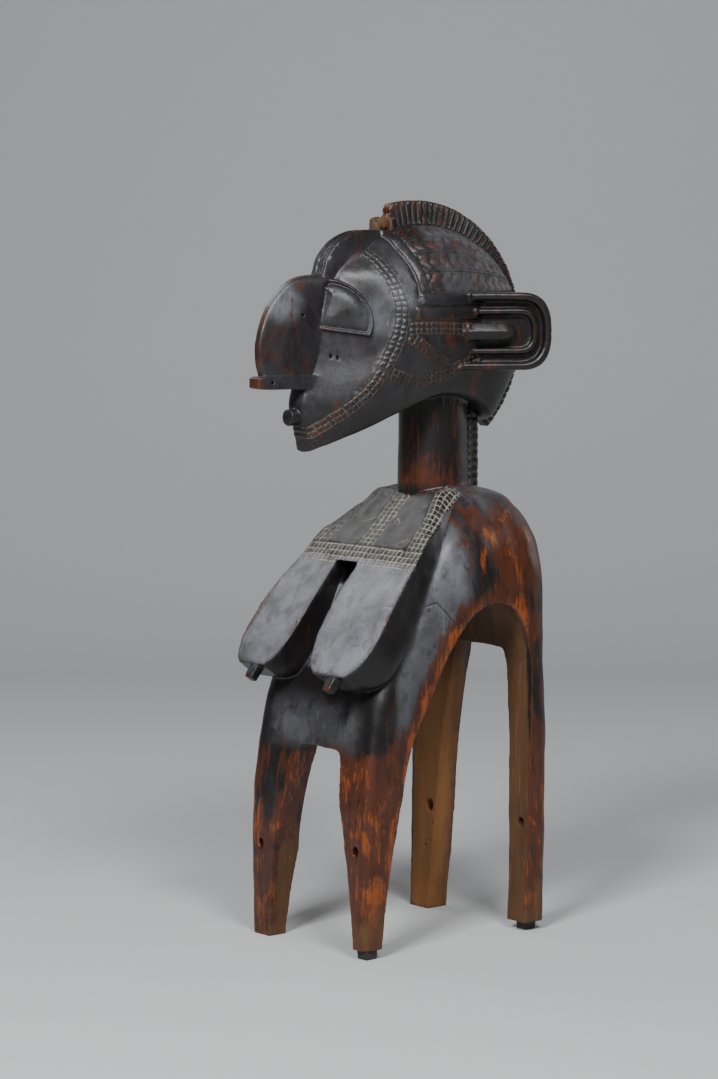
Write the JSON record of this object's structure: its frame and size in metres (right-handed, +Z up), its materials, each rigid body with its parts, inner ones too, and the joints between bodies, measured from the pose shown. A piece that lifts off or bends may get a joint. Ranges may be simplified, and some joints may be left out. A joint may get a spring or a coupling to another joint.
{
  "type": "wooden shoulder mask figure",
  "caption": "Carved wooden shoulder figure: wedge-faced head with fluted crest on a neck, chest board with two breasts, hollow yoke on arched legs",
  "frame": {"origin": "middle of the base, under the centre of the figure's bounding box", "axes": "+Z up along the figure's height, the face looks along -Y, the figure's left side is +X"},
  "size_m": [0.3438, 0.5581, 1.2],
  "materials": {
    "patinated_wood": "satin dark patina worn to red-brown, raw brown wood inside and on the feet",
    "dark_block": "matt black"
  },
  "bodies": {
    "root": {"carved_figure": "patinated_wood", "front_foot_block": "dark_block", "rear_foot_block": "dark_block"}
  },
  "joints": []
}
